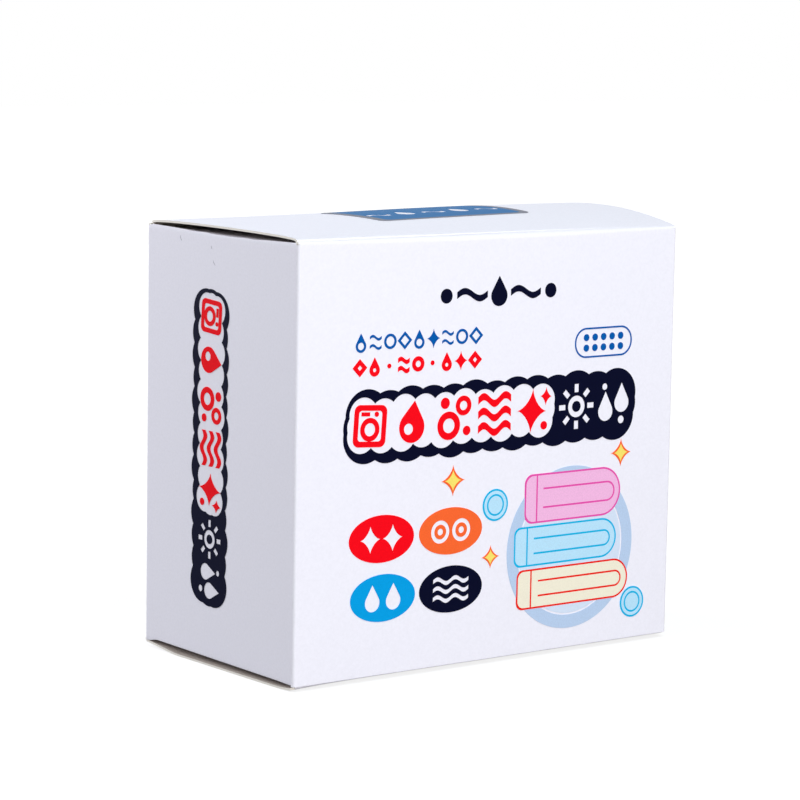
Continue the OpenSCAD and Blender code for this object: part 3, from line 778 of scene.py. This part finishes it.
def floor():
    """A pale floor: what the camera sees of it is near white, and the object's shadow stays."""
    bpy.ops.mesh.primitive_plane_add(size=6, location=(0, 0, -0.02 * MM))
    made = bpy.context.object
    made.name = "floor"
    plain, shader = material("floor", 0.9, 0.2)
    tree = plain.node_tree
    shader.inputs["Base Color"].default_value = (0.3, 0.3, 0.3, 1)
    path = tree.nodes.new("ShaderNodeLightPath")
    glow = tree.nodes.new("ShaderNodeEmission")
    place = tree.nodes.new("ShaderNodeTexCoord")
    away = tree.nodes.new("ShaderNodeVectorMath")
    away.operation = "LENGTH"
    rise = tree.nodes.new("ShaderNodeMapRange")
    rise.inputs["From Min"].default_value = FLOOR_NEAR
    rise.inputs["From Max"].default_value = FLOOR_FAR
    rise.inputs["To Min"].default_value = FLOOR_GLOW
    rise.inputs["To Max"].default_value = 1
    tree.links.new(place.outputs["Object"], away.inputs[0])
    tree.links.new(away.outputs["Value"], rise.inputs["Value"])
    tree.links.new(rise.outputs["Result"], glow.inputs["Strength"])
    shade = tree.nodes.new("ShaderNodeBsdfDiffuse")
    shade.inputs["Color"].default_value = (0.3, 0.3, 0.3, 1)
    both = tree.nodes.new("ShaderNodeAddShader")
    mix = tree.nodes.new("ShaderNodeMixShader")
    tree.links.new(glow.outputs[0], both.inputs[0])
    tree.links.new(shade.outputs[0], both.inputs[1])
    tree.links.new(path.outputs["Is Camera Ray"], mix.inputs[0])
    tree.links.new(shader.outputs[0], mix.inputs[1])
    tree.links.new(both.outputs[0], mix.inputs[2])
    tree.links.new(mix.outputs[0], tree.nodes["Material Output"].inputs["Surface"])
    made.data.materials.append(plain)


def world(strength):
    """Even light from all sides, which the camera and reflections see as white."""
    sky = bpy.data.worlds.new("studio")
    sky.use_nodes = True
    bpy.context.scene.world = sky
    tree = sky.node_tree
    lit = tree.nodes["Background"]
    lit.inputs["Color"].default_value = (1, 1, 1, 1)
    lit.inputs["Strength"].default_value = strength
    white = tree.nodes.new("ShaderNodeBackground")
    white.inputs["Color"].default_value = (1, 1, 1, 1)
    path = tree.nodes.new("ShaderNodeLightPath")
    seen = tree.nodes.new("ShaderNodeMath")
    seen.operation = "MAXIMUM"
    mirrored = tree.nodes.new("ShaderNodeMath")
    mirrored.operation = "MAXIMUM"
    mix = tree.nodes.new("ShaderNodeMixShader")
    tree.links.new(path.outputs["Is Camera Ray"], seen.inputs[0])
    tree.links.new(path.outputs["Is Glossy Ray"], seen.inputs[1])
    tree.links.new(seen.outputs[0], mirrored.inputs[0])
    tree.links.new(path.outputs["Is Transmission Ray"], mirrored.inputs[1])
    tree.links.new(mirrored.outputs[0], mix.inputs[0])
    tree.links.new(lit.outputs[0], mix.inputs[1])
    tree.links.new(white.outputs[0], mix.inputs[2])
    tree.links.new(mix.outputs[0], tree.nodes["World Output"].inputs["Surface"])


def softbox(name, at, power, size, tint):
    """A square lamp at that place in metres, turned towards the middle of the pack."""
    lamp = bpy.data.lights.new(name, "AREA")
    lamp.energy = power
    lamp.size = size
    lamp.color = tint
    made = bpy.data.objects.new(name, lamp)
    bpy.context.scene.collection.objects.link(made)
    made.location = at
    aim = Vector((CENTRE_X, CENTRE_Y, (WALL_Z0 + WALL_Z1) / 2)) - made.location
    made.rotation_euler = aim.to_track_quat("-Z", "Y").to_euler()


# Camera: where the photograph was taken from, with its turn, tilt and roll in degrees
CAMERA_AT = (-0.45057, -0.57691, 0.15505)
CAMERA_TURN = 37.746
CAMERA_TILT = -7.476
CAMERA_ROLL = 0.97
LENS = 138.3


def camera():
    """The scene's camera, at the photograph's viewing angle."""
    lens = bpy.data.cameras.new("camera")
    lens.lens = LENS
    lens.sensor_width = 36
    lens.clip_start = 0.01
    lens.clip_end = 20
    made = bpy.data.objects.new("camera", lens)
    bpy.context.scene.collection.objects.link(made)
    turn = Matrix.Rotation(math.radians(-CAMERA_TURN), 4, "Z")
    tilt = Matrix.Rotation(math.radians(90 + CAMERA_TILT), 4, "X")
    roll = Matrix.Rotation(math.radians(CAMERA_ROLL), 4, "Z")
    made.matrix_world = Matrix.Translation(CAMERA_AT) @ turn @ tilt @ roll
    bpy.context.scene.camera = made


floor()
world(0.28)
softbox("front_key", (-0.15, -1.15, 0.25), 7.1, 0.5, (1, 0.951, 0.955))
softbox("top_key", (-0.1, -0.6, 0.9), 4.9, 0.4, (0.832, 0.952, 1))
softbox("left_key", (-0.5, 0.75, 0.4), 6.4, 0.3, (0.935, 0.937, 1))
camera()
bpy.context.scene.view_settings.view_transform = "Standard"
